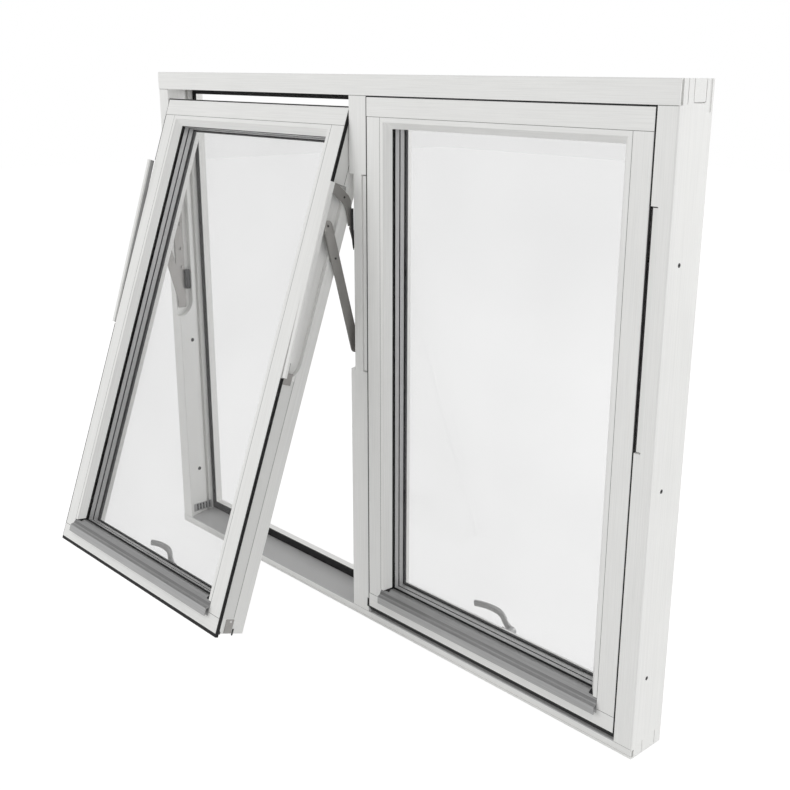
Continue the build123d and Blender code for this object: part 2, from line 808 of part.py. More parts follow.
stays("left", open_place, -light_x, stay_foot, stay_w)
arms("left", open_place, -light_x)
frame_plates("left", -light_x)
stays("right", closed_place, light_x, shut_stay_foot, shut_stay_w)
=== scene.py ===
import json
import math

import bmesh
import bpy
from mathutils import Matrix, Vector


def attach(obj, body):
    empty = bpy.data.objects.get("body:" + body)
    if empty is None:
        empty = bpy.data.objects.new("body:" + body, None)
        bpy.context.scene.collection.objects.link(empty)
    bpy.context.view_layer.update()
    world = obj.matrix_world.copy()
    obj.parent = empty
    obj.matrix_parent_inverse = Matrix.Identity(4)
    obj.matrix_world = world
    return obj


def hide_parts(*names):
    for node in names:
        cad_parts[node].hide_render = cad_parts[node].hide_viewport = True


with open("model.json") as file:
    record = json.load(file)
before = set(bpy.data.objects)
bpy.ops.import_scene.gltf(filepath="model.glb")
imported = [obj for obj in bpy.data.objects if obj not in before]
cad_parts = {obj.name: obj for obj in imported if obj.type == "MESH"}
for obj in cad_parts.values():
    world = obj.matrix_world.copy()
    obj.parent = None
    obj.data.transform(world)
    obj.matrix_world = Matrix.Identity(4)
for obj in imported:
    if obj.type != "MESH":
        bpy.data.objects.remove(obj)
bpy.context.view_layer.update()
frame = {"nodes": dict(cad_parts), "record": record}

MM = 0.001

# Sizes of the window in millimetres, as its solids have them
FACE_Y = -57.5
LIGHT_X = 464.0
JAMB_INNER_X = 896.5
JAMB_OUTER_X = 945.0
SASH_HEAD_Z = 1436.5
HALF_SASH = 427.5
RAIL_W = 49.0
TOP_RAIL_W = 46.0
FOOT_RAIL_W = 41.0
SIGHT_W = 77.0
JOINT_W = 1.3
POCKET_FOOT_Z = 730.0
POCKET_HEAD_Z = 1247.0
BORE_DEPTH = 41
BORE_HEIGHTS = (195.0, 646.0, 1131.0)
# Foot of a sash, measured from its head as all heights on a sash are
FOOT = -1392.5
# How far the open sash leans out, and how far back and down its head has come on its gear
TILT = math.radians(19.7)
OPEN_BACK = 4.8
OPEN_DOWN = 27
# Left and right side of a light or a sash
HANDS = (-1, 1)

# Where a point of each sash lies, given by X across it, Y behind its face and Z from its head
OPEN_HEAD = Matrix.Translation((-LIGHT_X, FACE_Y + OPEN_BACK, SASH_HEAD_Z - OPEN_DOWN))
CLOSED_HEAD = Matrix.Translation((LIGHT_X, FACE_Y, SASH_HEAD_Z))
PLACES = {
    "left": OPEN_HEAD @ Matrix.Rotation(-TILT, 4, "X"),
    "right": CLOSED_HEAD,
}


def srgb(code):
    """Linear colour of an sRGB hex code such as #E8E8E6."""
    levels = [int(code[i:i + 2], 16) / 255 for i in (1, 3, 5)]
    return [v / 12.92 if v <= 0.04045 else ((v + 0.055) / 1.055) ** 2.4 for v in levels] + [1.0]


def add(tree, kind, settings=(), links=()):
    """Adds a node, sets its properties and inputs, and links its inputs to other sockets."""
    node = tree.nodes.new(kind)
    for key, value in dict(settings).items():
        if isinstance(key, str) and hasattr(node, key):
            setattr(node, key, value)
        else:
            node.inputs[key].default_value = value
    for key, socket in dict(links).items():
        tree.links.new(socket, node.inputs[key])
    return node


def new_material(name):
    """An empty node material."""
    material = bpy.data.materials.new(name)
    material.use_nodes = True
    material.node_tree.nodes.clear()
    return material


def finish(material, shader):
    """Links the last shader to the material's output."""
    tree = material.node_tree
    add(tree, "ShaderNodeOutputMaterial", links={"Surface": shader.outputs[0]})
    return material


def sprayed_paint(name, stretch, lean=0.0):
    """Factory-sprayed satin paint on planed pine: an even white with a very fine orange peel,
    under which the grain shows as long faint ridges. stretch is the size in millimetres of one
    ridge along X, Y and Z, and lean turns the ridges about X with a sash that leans out. Real
    ridges are half a millimetre apart, and are drawn four times as wide so that they show."""
    peel_mm = 2.2
    cloud_mm = 160
    material = new_material(name)
    tree = material.node_tree
    place = add(tree, "ShaderNodeTexCoord")
    turned_place = add(tree, "ShaderNodeVectorRotate", {"rotation_type": "X_AXIS", "Angle": lean},
                       {"Vector": place.outputs["Object"]})
    grain_place = add(tree, "ShaderNodeMapping",
                      {"Scale": [1 / (MM * size) for size in stretch]},
                      {"Vector": turned_place.outputs["Vector"]})
    grain = add(tree, "ShaderNodeTexNoise", {"Scale": 1.0, "Detail": 3.0, "Roughness": 0.6},
                {"Vector": grain_place.outputs["Vector"]})
    peel = add(tree, "ShaderNodeTexNoise", {"Scale": 1 / (MM * peel_mm), "Detail": 2.0},
               {"Vector": place.outputs["Object"]})
    clouds = add(tree, "ShaderNodeTexNoise", {"Scale": 1 / (MM * cloud_mm), "Detail": 2.0},
                 {"Vector": place.outputs["Object"]})
    base = add(tree, "ShaderNodeMix", {"data_type": "RGBA", 6: srgb("#EFEFED"), 7: srgb("#F5F5F3")},
               {0: clouds.outputs["Fac"]})
    streaks = add(tree, "ShaderNodeMapRange",
                  {"From Min": 0.32, "From Max": 0.62, "To Min": 0.935, "To Max": 1.0},
                  {"Value": grain.outputs["Fac"]})
    grained = add(tree, "ShaderNodeVectorMath", {"operation": "SCALE"},
                  {"Vector": base.outputs[2], "Scale": streaks.outputs["Result"]})
    ridges = add(tree, "ShaderNodeBump", {"Strength": 0.16, "Distance": 0.2 * MM},
                 {"Height": grain.outputs["Fac"]})
    bumps = add(tree, "ShaderNodeBump", {"Strength": 0.12, "Distance": 0.05 * MM},
                {"Height": peel.outputs["Fac"], "Normal": ridges.outputs["Normal"]})
    gloss = add(tree, "ShaderNodeMapRange", {"To Min": 0.36, "To Max": 0.46},
                {"Value": peel.outputs["Fac"]})
    shader = add(tree, "ShaderNodeBsdfPrincipled", {"IOR": 1.48},
                 {"Base Color": grained.outputs["Vector"], "Roughness": gloss.outputs["Result"],
                  "Normal": bumps.outputs["Normal"]})
    return finish(material, shader)


def grainy(name, dark, pale, grit_mm, rough, metallic=0.0, bump=0.1, stretch=(1, 1, 1), ior=1.5):
    """A fine-grained finish: two near tones, a slight relief and a gloss that changes a little
    from grain to grain. The grit of such finishes is about a tenth of a millimetre, and grit_mm
    is several times that, so that it shows."""
    gloss_range = 0.06
    material = new_material(name)
    tree = material.node_tree
    place = add(tree, "ShaderNodeTexCoord")
    spread = add(tree, "ShaderNodeMapping", {"Scale": [1 / (MM * grit_mm * s) for s in stretch]},
                 {"Vector": place.outputs["Object"]})
    grit = add(tree, "ShaderNodeTexNoise", {"Scale": 1.0, "Detail": 3.0},
               {"Vector": spread.outputs["Vector"]})
    tone = add(tree, "ShaderNodeMix", {"data_type": "RGBA", 6: srgb(dark), 7: srgb(pale)},
               {0: grit.outputs["Fac"]})
    relief = add(tree, "ShaderNodeBump", {"Strength": bump, "Distance": 0.1 * MM},
                 {"Height": grit.outputs["Fac"]})
    gloss = add(tree, "ShaderNodeMapRange",
                {"To Min": rough - gloss_range, "To Max": rough + gloss_range},
                {"Value": grit.outputs["Fac"]})
    settings = {"Metallic": metallic}
    if not metallic:
        settings["IOR"] = ior
    shader = add(tree, "ShaderNodeBsdfPrincipled", settings,
                 {"Base Color": tone.outputs[2], "Roughness": gloss.outputs["Result"],
                  "Normal": relief.outputs["Normal"]})
    return finish(material, shader)


def anodised_bead(name, lean=0.0):
    """Brushed anodised aluminium, its grey carrying painted shade by the way each face turns: brightest
    on its upright front, darkest in the cove, and between the two on the slope and on the level edge.
    Brush lines run along it, drawn ten times as wide as real ones so that they show. lean is
    the turn about X of a sash that leans out."""
    line_mm = 2.2
    line_length_mm = 140
    material = new_material(name)
    tree = material.node_tree
    place = add(tree, "ShaderNodeTexCoord")
    upright = add(tree, "ShaderNodeVectorRotate", {"rotation_type": "X_AXIS", "Angle": lean},
                  {"Vector": place.outputs["Normal"]})
    parts = add(tree, "ShaderNodeSeparateXYZ", links={"Vector": upright.outputs["Vector"]})
    tones = add(tree, "ShaderNodeValToRGB", links={"Fac": parts.outputs["Z"]})
    # Painted shade, from an upright face, at 0, to a level one, at 1
    painted_shade_stops = ((0.0, "#A6A6A6"), (0.2, "#9A9A9A"), (0.40, "#6E6E6E"), (0.52, "#7A7A7A"),
             (0.68, "#969696"), (0.78, "#969696"), (0.90, "#8E8E8E"), (1.0, "#989898"))
    tones.color_ramp.elements.remove(tones.color_ramp.elements[1])
    for spot, tone in painted_shade_stops:
        stop = tones.color_ramp.elements.new(spot) if spot else tones.color_ramp.elements[0]
        stop.color = srgb(tone)
    brushed = add(tree, "ShaderNodeMapping",
                  {"Scale": [1 / (MM * size) for size in (line_length_mm, line_mm, line_mm)]},
                  {"Vector": place.outputs["Object"]})
    lines = add(tree, "ShaderNodeTexNoise", {"Scale": 1.0, "Detail": 3.0},
                {"Vector": brushed.outputs["Vector"]})
    share = add(tree, "ShaderNodeMapRange",
                {"From Min": 0.3, "From Max": 0.7, "To Min": 0.86, "To Max": 1.12},
                {"Value": lines.outputs["Fac"]})
    tone = add(tree, "ShaderNodeVectorMath", {"operation": "SCALE"},
               {"Vector": tones.outputs["Color"], "Scale": share.outputs["Result"]})
    shader = add(tree, "ShaderNodeBsdfPrincipled", {"Metallic": 0.35, "Roughness": 0.48},
                 {"Base Color": tone.outputs["Vector"]})
    return finish(material, shader)


def float_glass():
    """Clear float glass, too thin to shift what is behind it: nearly colourless, it mirrors
    more the flatter it is looked at. Only the face that is looked at mirrors, and faintly, as
    the coating of sealed units has it, and its tone changes slightly over each pane."""
    wave_mm = 350
    material = new_material("clear_float_glass")
    tree = material.node_tree
    place = add(tree, "ShaderNodeTexCoord")
    waves = add(tree, "ShaderNodeTexNoise", {"Scale": 1 / (MM * wave_mm), "Detail": 1.0},
                {"Vector": place.outputs["Object"]})
    sight = add(tree, "ShaderNodeNewGeometry")
    index = add(tree, "ShaderNodeMapRange", {"To Min": 1.45, "To Max": 1.0},
                {"Value": sight.outputs["Backfacing"]})
    mirrored = add(tree, "ShaderNodeFresnel", links={"IOR": index.outputs["Result"]})
    clear = add(tree, "ShaderNodeMix", {"data_type": "RGBA", 6: srgb("#FBFBFB"), 7: srgb("#FDFDFD")},
                {0: waves.outputs["Fac"]})
    through = add(tree, "ShaderNodeBsdfTransparent", links={"Color": clear.outputs[2]})
    shine = add(tree, "ShaderNodeBsdfGlossy", {"Color": srgb("#A8A8A8"), "Roughness": 0.02})
    both = add(tree, "ShaderNodeMixShader",
               links={0: mirrored.outputs["Fac"], 1: through.outputs[0], 2: shine.outputs[0]})
    return finish(material, both)


def spacer_bar():
    """Rolled aluminium spacer bar, satin grey where it faces the cavity, with the black butyl
    that seals it to the panes on the faces that lie against the glass. The rolled grain is
    drawn several times as coarse as it is, so that it shows."""
    grit_mm = 0.8
    against_glass = 0.85
    material = new_material("spacer_bar_aluminium")
    tree = material.node_tree
    place = add(tree, "ShaderNodeTexCoord")
    facing = add(tree, "ShaderNodeSeparateXYZ", links={"Vector": place.outputs["Normal"]})
    depthwise = add(tree, "ShaderNodeMath", {"operation": "ABSOLUTE"}, {0: facing.outputs["Y"]})
    against = add(tree, "ShaderNodeMath", {"operation": "GREATER_THAN", 1: against_glass},
                  {0: depthwise.outputs[0]})
    grit = add(tree, "ShaderNodeTexNoise", {"Scale": 1 / (MM * grit_mm), "Detail": 2.0},
               {"Vector": place.outputs["Object"]})
    metal = add(tree, "ShaderNodeMix", {"data_type": "RGBA", 6: srgb("#B6B6B6"), 7: srgb("#C6C6C6")},
                {0: grit.outputs["Fac"]})
    tone = add(tree, "ShaderNodeMix", {"data_type": "RGBA", 7: srgb("#2A2A2B")},
               {0: against.outputs[0], 6: metal.outputs[2]})
    shader = add(tree, "ShaderNodeBsdfPrincipled", {"Metallic": 0.2, "Roughness": 0.5},
                 {"Base Color": tone.outputs[2]})
    return finish(material, shader)


# Sprayed pine, its grain along X in the rails, along Z in the uprights and with the open sash
RIDGE_L = 160
RIDGE_W = 2.2
paint_along = sprayed_paint("sprayed_pine_rails", (RIDGE_L, RIDGE_W, RIDGE_W))
paint_upright = sprayed_paint("sprayed_pine_uprights", (RIDGE_W, RIDGE_W, RIDGE_L))
paint_leaning = sprayed_paint("sprayed_pine_open_stiles", (RIDGE_W, RIDGE_W, RIDGE_L), TILT)
glass = float_glass()
spacer_metal = spacer_bar()
# Extruded rubber seals, matt and nearly black, so that they show as thin dark lines
rubber = grainy("extruded_black_rubber", "#0A0A0B", "#131314",
                grit_mm=0.5, rough=0.7, bump=0.2, ior=1.4)
# Softer rubber extruded with the glazing gasket, dark grey with a dull sheen on its lip
gasket_rubber = grainy("coextruded_grey_rubber", "#2E2E30", "#3A3A3C",
                       grit_mm=0.5, rough=0.6, bump=0.2, ior=1.4)
# Anodised aluminium foot beads with painted shade by facing, the second one with the lean of the open
# sash
bead_metal = anodised_bead("satin_anodised_aluminium")
bead_metal_leaning = anodised_bead("satin_anodised_aluminium_open_sash", TILT)
# Sprayed and baked grey powder on the sill's aluminium cover, matt with a fine sandy grain
cover_metal = grainy("grey_powder_coat", "#B6B6B6", "#C2C2C2", grit_mm=0.5, rough=0.55, bump=0.3)
# Sprayed and baked white powder on the cover strips, smoother than the timber and without grain
strip_coat = grainy("white_powder_coat", "#E9E9E7", "#F1F1EF", grit_mm=0.5, rough=0.45, bump=0.15)
# Pressed steel of the hinge gear, passivated to a faintly warm grey with blurred highlights
gear_steel = grainy("passivated_steel", "#93918F", "#A3A19E", grit_mm=1.2, rough=0.40, metallic=0.6)
# Die-cast zinc levers under satin lacquer, with broad soft highlights on their rounded edges
handle_zinc = grainy("satin_cast_zinc", "#A6A6A6", "#B6B6B6", grit_mm=0.7, rough=0.38, metallic=0.5)
# Moulded nylon of the corner blocks and end pieces, an even grey with a dull moulded grain; on the open
# sash's strip legs this grey is painted shade
plastic = grainy("moulded_grey_plastic", "#A0A0A0", "#ACACAC", grit_mm=0.4, rough=0.5, bump=0.2)
# The same nylon moulded in black, for the dark inserts of the gear, corner blocks and stile feet; it also
# paints the shade in the recessed pin ends and between the corner blocks' ribs
black_plastic_and_shade = grainy("black_plastic_and_painted_shade", "#232324", "#2E2E2F",
                      grit_mm=0.4, rough=0.5, bump=0.2)
# Painted shade in the fine grooves between parts, a flat grey that takes no gloss
painted_groove_shade = grainy("painted_shade_in_grooves", "#838381", "#8F8F8D", grit_mm=0.6, rough=0.8, bump=0.3)
# Painted shade on the sides of a sash beside the seal, a slightly darker, duller white drawn upwards
painted_side_shade = grainy("side_painted_shade", "#DEDEDC", "#E8E8E6",
                     grit_mm=1.2, rough=0.6, bump=0.2, stretch=(1, 1, 60))
# Dark, dull grey on the screw sleeves, painted shade of the holes' edges, so that the screw holes show as
# dark dots
painted_hole_shade = grainy("sleeve_painted_shade", "#4C4C4C", "#5A5A5A",
                     grit_mm=0.5, rough=0.6, metallic=0.2)
# Bright zinc plating of the keep screws, a small light glint against the grey keeps
screw_zinc = grainy("bright_zinc_plating", "#D2D2D0", "#E0E0DE",
                    grit_mm=0.5, rough=0.3, metallic=0.7)

FINISHES = {
    "painted_timber": paint_upright,
    "clear_glass": glass,
    "spacer_bar": spacer_metal,
    "black_rubber": rubber,
    "anodised_bead": bead_metal,
    "sill_cover": cover_metal,
    "painted_metal": strip_coat,
    "hinge_steel": gear_steel,
    "handle_metal": handle_zinc,
    "grey_plastic": plastic,
}


def finish_of(part):
    """Finish of one CAD node: that of its slot, with the grain or the lines along the piece."""
    name = part["node"]
    if part["material_slot"] == "painted_timber":
        if name in ("head", "sill") or name.endswith("_rail") or name.endswith("_top_bead"):
            return paint_along
        return paint_leaning if name.startswith("left_") and name != "left_jamb" else paint_upright
    if name == "left_foot_bead":
        return bead_metal_leaning
    return FINISHES[part["material_slot"]]


def dress_cad_nodes():
    """Gives every CAD node its finish."""
    for part in frame["record"]["subparts"]:
        slots = frame["nodes"][part["node"]].data.materials
        slots.clear()
        slots.append(finish_of(part))


def loft(loops, closed=False):
    """Skin through equal loops of points, closed into a ring or with a cap at each end."""
    count = len(loops[0])
    faces = []
    for first in range(len(loops) if closed else len(loops) - 1):
        second = (first + 1) % len(loops)
        for k in range(count):
            after = (k + 1) % count
            faces.append((first * count + k, first * count + after,
                          second * count + after, second * count + k))
    if not closed:
        faces.append(tuple(reversed(range(count))))
        faces.append(tuple((len(loops) - 1) * count + k for k in range(count)))
    return [Vector(point) for loop in loops for point in loop], faces


def prism(outline, push):
    """Solid between an outline and the same outline pushed along."""
    return loft([outline, [Vector(point) + Vector(push) for point in outline]])


def bar(x0, x1, y0, y1, z0, z1):
    """Square bar between two corners."""
    return prism([(x0, y0, z0), (x0, y1, z0), (x0, y1, z1), (x0, y0, z1)], (x1 - x0, 0, 0))


def turned(profile, centre, outward, count=20):
    """Ring turned about X, its profile given as radius and distance outwards."""
    loops = []
    for step in range(count):
        turn = 2 * math.pi * step / count
        loops.append([(centre[0] + outward * out, centre[1] + radius * math.cos(turn),
                       centre[2] + radius * math.sin(turn)) for radius, out in profile])
    return loft(loops, closed=True)


def on_sash(side, shell):
    """A shell drawn on a sash's own axes, moved to where that sash is."""
    points, faces = shell
    return [PLACES[side] @ point for point in points], faces


def piece(name, shells, material, body="window", bevel=0.0):
    """One mesh made of closed shells in millimetres, with its sharp edges rounded by bevel."""
    weld = 0.001 * MM
    bevelled_turn = 0.5
    shaded_turn = math.radians(40)
    mesh = bpy.data.meshes.new(name)
    shape = bmesh.new()
    for points, faces in shells:
        corners = [shape.verts.new(point * MM) for point in points]
        for face in faces:
            shape.faces.new([corners[i] for i in face])
    bmesh.ops.remove_doubles(shape, verts=shape.verts, dist=weld)
    bmesh.ops.recalc_face_normals(shape, faces=shape.faces)
    if bevel:
        sharp = [edge for edge in shape.edges if edge.calc_face_angle(0) > bevelled_turn]
        bmesh.ops.bevel(shape, geom=sharp, offset=bevel * MM, segments=2, profile=0.5, affect="EDGES")
    shape.to_mesh(mesh)
    shape.free()
    mesh.shade_smooth()
    mesh.set_sharp_from_angle(angle=shaded_turn)
    mesh.materials.append(material)
    holder = bpy.data.objects.new(name, mesh)
    bpy.context.scene.collection.objects.link(holder)
    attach(holder, body)
    return holder


def inner_gasket(side):
    """Dark grey gasket round the inner pane, its lip standing a little past the timber."""
    half_sight = HALF_SASH - SIGHT_W
    sight_foot = FOOT + SIGHT_W
    sight_head = RAIL_W - TOP_RAIL_W - SIGHT_W
    # Section of the lip, given by its distance into the sight of the glass and its depth
    lip = ((0, 62.05), (2.6, 62.3), (3.2, 66.0), (2.2, 69.0), (0, 69.5))
    loops = []
    for across, up in ((-1, -1), (1, -1), (1, 1), (-1, 1)):
        loops.append([(across * (half_sight - inset), depth,
                       sight_head - inset if up > 0 else sight_foot + inset)
                      for inset, depth in lip])
    ring = on_sash(side, loft(loops, closed=True))
    piece(f"{side}_inner_gasket", [ring], gasket_rubber)


def sash_groove_shade(side):
    """Painted shade in the fine grooves between stiles, rails and beads of one sash."""
    front, back = -0.05, 2.45
    foot_bead_h = 71
    edge_round = 2.5
    bead_foot = FOOT + foot_bead_h
    half_clear = HALF_SASH - RAIL_W
    half_joint = HALF_SASH - edge_round
    shells = [bar(-half_clear, half_clear, front, back, -TOP_RAIL_W - JOINT_W, -TOP_RAIL_W)]
    for hand in HANDS:
        near, far = sorted((hand * (half_clear - JOINT_W), hand * half_clear))
        shells.append(bar(near, far, front, back, bead_foot, -TOP_RAIL_W - JOINT_W))
        near, far = sorted((hand * half_clear, hand * half_joint))
        shells.append(bar(near, far, front, back, -TOP_RAIL_W - JOINT_W, -TOP_RAIL_W))
        shells.append(bar(near, far, front, back, FOOT + FOOT_RAIL_W, FOOT + FOOT_RAIL_W + JOINT_W))
    lines = [on_sash(side, shell) for shell in shells]
    piece(f"{side}_joint_lines", lines, painted_groove_shade)


def frame_groove_shade():
    """Painted shade in the fine grooves above and below the frame's uprights."""
    uprights = ((-941.5, -897), (-31, 31), (897, 941.5))
    head_groove = (FACE_Y + 1.2, FACE_Y + 2.45)
    sill_groove = (FACE_Y + 0.7, FACE_Y + 1.45)
    under_head = 1440
    over_sill = 24.5
    sill_joint_w = 1.25
    shells = []
    for x0, x1 in uprights:
        shells.append(bar(x0, x1, *head_groove, under_head - JOINT_W, under_head))
        shells.append(bar(x0, x1, *sill_groove, over_sill, over_sill + sill_joint_w))
    piece("frame_groove_shade", shells, painted_groove_shade)


def side_bands(side):
    """Bands of painted shade on the sides of a sash, between its seal and its fine groove, and
    a line of painted shade in that groove. The hinge pocket parts them into a long and a short run."""
    band_front, band_back = 9.8, 46.6
    line_back = 47.9
    band_t, line_t = 0.4, 0.3
    rail_clear, pocket_clear = 1, 2
    under_rail = -50
    low_run = (FOOT + FOOT_RAIL_W + rail_clear, POCKET_FOOT_Z - SASH_HEAD_Z - pocket_clear)
    high_run = (POCKET_HEAD_Z - SASH_HEAD_Z + pocket_clear, under_rail)
    bands = []
    lines = []
    for hand in HANDS:
        edge = hand * HALF_SASH
        for z0, z1 in (low_run, high_run):
            band = bar(edge, edge + hand * band_t, band_front, band_back, z0, z1)
            bands.append(on_sash(side, band))
            line = bar(edge, edge + hand * line_t, band_back, line_back, z0, z1)
            lines.append(on_sash(side, line))
    piece(f"{side}_side_bands", bands, painted_side_shade)
    piece(f"{side}_side_lines", lines, painted_groove_shade)


def foot_end_pieces(side):
    """Small plastic pieces at the foot of each side of a sash, and the screw of its keep."""
    # Depth and height above the sash's foot of the corners of each piece
    plug = ((51.5, -4.5), (55.5, -4.5), (55.5, 13.5), (51.5, 13.5))
    seal_end = ((9.8, -1.5), (14.5, -1.5), (14.0, 5.0), (11.5, 8.5), (9.8, 8.5))
    sunk, plug_t = 0.5, 2.3
    # Radius and height of the screw's domed head, and where it sits on the keep
    head = ((0, 1.4), (1.6, 1.2), (2.8, 0.6), (3.1, 0), (0, 0))
    keep_t, screw_depth, screw_up = 2.05, 39.4, 33
    shells = []
    heads = []
    for hand in HANDS:
        edge = hand * HALF_SASH
        for outline in (plug, seal_end):
            points = [(edge - hand * sunk, depth, FOOT + up) for depth, up in outline]
            shells.append(on_sash(side, prism(points, (hand * plug_t, 0, 0))))
        centre = (edge + hand * keep_t, screw_depth, FOOT + screw_up)
        heads.append(on_sash(side, turned(head, centre, hand)))
    piece(f"{side}_foot_plugs", shells, black_plastic_and_shade, bevel=0.3)
    piece(f"{side}_keep_screws", heads, screw_zinc)


def strip_legs():
    """Legs behind the near edges of the open sash's cover strips, which lean out with them, in grey that
    is painted shade.
    """
    inner_out, outer_out = 7.6, 9.0
    front, back = 4.9, 17
    leg_foot = 14
    pocket_clear = 3
    strip_lean_deg = 1.6
    strip_foot = POCKET_FOOT_Z + pocket_clear - SASH_HEAD_Z
    strip_length = POCKET_HEAD_Z - POCKET_FOOT_Z - 2 * pocket_clear
    turn = Matrix.Rotation(math.radians(strip_lean_deg), 4, "X")
    lean = Matrix.Translation((0, 0, strip_foot)) @ turn
    shells = []
    for hand in HANDS:
        near, far = sorted((hand * (HALF_SASH + inner_out), hand * (HALF_SASH + outer_out)))
        points, faces = bar(near, far, front, back, leg_foot, strip_length)
        shells.append(on_sash("left", ([lean @ point for point in points], faces)))
    # Grey plastic here paints the shade on the legs
    piece("left_strip_legs", shells, plastic, bevel=0.3)


def pocket_seals():
    """Black lips that close the gap beside the hinge pockets of the closed sash."""
    inner, outer = HALF_SASH + 0.1, HALF_SASH + 3.3
    front, back = FACE_Y + 1.2, FACE_Y + 5
    shells = []
    for hand in HANDS:
        near, far = sorted((LIGHT_X + hand * inner, LIGHT_X + hand * outer))
        shells.append(bar(near, far, front, back, POCKET_FOOT_Z, POCKET_HEAD_Z))
    piece("right_pocket_seals", shells, rubber, bevel=0.3)


def screw_sleeves():
    """Sleeves in the mouths of the screw holes in the jambs, open through the middle: flush at
    the outer sides, and with a thin flange at the inner ones."""
    # Sections of the sleeves, given by radius and distance out of the jamb
    flush = ((2.2, -1.6), (2.6, -0.1), (4.6, -0.1), (4.95, -0.3), (4.9, -9), (2.2, -9))
    flanged = ((2.4, -1.6), (2.8, 0.3), (6.0, 0.3), (6.4, 0.05), (4.95, -0.05), (4.9, -9), (2.4, -9))
    bore_y = FACE_Y + BORE_DEPTH
    round_steps = 28
    shells = []
    for hand in HANDS:
        for height in BORE_HEIGHTS:
            shells.append(turned(flush, (hand * JAMB_OUTER_X, bore_y, height), hand, round_steps))
            # Higher up, the bores end in the hinge pockets
            if height < POCKET_FOOT_Z:
                shells.append(turned(flanged, (hand * JAMB_INNER_X, bore_y, height), -hand, round_steps))
    piece("screw_sleeves", shells, painted_hole_shade)


def corner_inserts():
    """Black inserts between the ribs of the corner blocks, dark plastic that also paints the shade
    between the ribs.
    """
    ribs, rib_w = 6, 5.0
    first_y, last_y = FACE_Y + 17, FACE_Y + 80
    pitch = (last_y - first_y - rib_w) / (ribs - 1)
    play = 0.5
    insert_w = pitch - rib_w - 2 * play
    insert_t = 0.9
    # From the middle of a light to the floor between a block's ribs
    block_face = 431.88
    z0, z1 = 46, 68
    shells = []
    for middle in (-LIGHT_X, LIGHT_X):
        for hand in HANDS:
            x0 = middle + hand * block_face
            for gap in range(ribs - 1):
                y0 = first_y + rib_w + pitch * gap + play
                shells.append(bar(x0, x0 - hand * insert_t, y0, y0 + insert_w, z0, z1))
    piece("corner_inserts", shells, black_plastic_and_shade, bevel=0.2)


def hinge_pins():
    """Ends of the pins and screws in the gear of the open sash, set in and dark: painted shade of their
    recesses.
    """
    place = PLACES["left"]
    arm_face, stay_face = 6.62, 10.02
    arm_pin = place @ Vector((0, 53, -217))
    head_pin = place @ Vector((0, 22.5, -301))
    foot_pin = Vector((-LIGHT_X, FACE_Y + 11.5, POCKET_FOOT_Z + 58))
    link_pin = head_pin.lerp(foot_pin, 0.257)
    foot_screw = foot_pin + Vector((0, 2, 6))
    spots = ((arm_face, arm_pin), (stay_face, head_pin), (stay_face, link_pin), (stay_face, foot_screw))
    # The screw in each stile's pocket: its distance into the sash, depth and height
    pocket_in, pocket_depth, pocket_z = 11.9, 14.6, -243
    # Section of one end, given by radius and distance outwards
    recess = ((0, 0.5), (1.7, 0.5), (2.6, 0.35), (2.9, 0), (0, 0))
    shells = []
    for hand in HANDS:
        edge = hand * HALF_SASH
        for face, spot in spots:
            shells.append(turned(recess, (-LIGHT_X + edge + hand * face, spot.y, spot.z), hand))
        pocket_screw = place @ Vector((edge - hand * pocket_in, pocket_depth, pocket_z))
        shells.append(turned(recess, tuple(pocket_screw), hand))
    piece("hinge_pin_ends", shells, black_plastic_and_shade)


def hinge_black_bars():
    """Black bar above each link, and the black case of each damper, in the left light."""
    # Depth behind the frame's face and height of the bar's corners
    black_bar = ((0.3, 1158), (6.8, 1158), (7.2, 1090), (7.5, 1064), (6.5, 1050), (3.5, 1068), (0.3, 1100))
    black_bar_out, black_bar_t = 9.0, 3.2
    case_out, case_t, chamfer = 9.8, 11.2, 3
    y0, y1 = FACE_Y + 30.6, FACE_Y + 48.4
    z0, z1 = POCKET_FOOT_Z + 86.6, POCKET_FOOT_Z + 148.4
    case = ((y0, z0 + chamfer), (y0 + chamfer, z0), (y1, z0),
            (y1, z1 - chamfer), (y1 - chamfer, z1), (y0, z1))
    shells = []
    for hand in HANDS:
        edge = -LIGHT_X + hand * HALF_SASH
        outline = [(edge + hand * black_bar_out, FACE_Y + depth, height) for depth, height in black_bar]
        shells.append(prism(outline, (hand * black_bar_t, 0, 0)))
        outline = [(edge + hand * case_out, y, z) for y, z in case]
        shells.append(prism(outline, (hand * case_t, 0, 0)))
    piece("hinge_black_bars", shells, black_plastic_and_shade, bevel=0.3)


def corner_rubber():
    """Rubber end of the seal that shows at the mullion's foot beside the closed sash, and the
    grey end piece of the sill cover below it."""
    # X and height of the corners of each piece
    seal_end = ((27.5, 41), (36.2, 41), (36.2, 66), (29.0, 68))
    cover_end = ((33.2, 29.5), (44, 29.5), (44, 33), (36, 40))
    seal_front, seal_t = FACE_Y - 0.4, 6
    cover_front, cover_t = FACE_Y + 0.2, 9
    outline = [(x, seal_front, z) for x, z in seal_end]
    shell = prism(outline, (0, seal_t, 0))
    piece("mullion_corner_rubber", [shell], rubber, bevel=0.4)
    outline = [(x, cover_front, z) for x, z in cover_end]
    shell = prism(outline, (0, cover_t, 0))
    piece("mullion_cover_end", [shell], plastic, bevel=0.4)


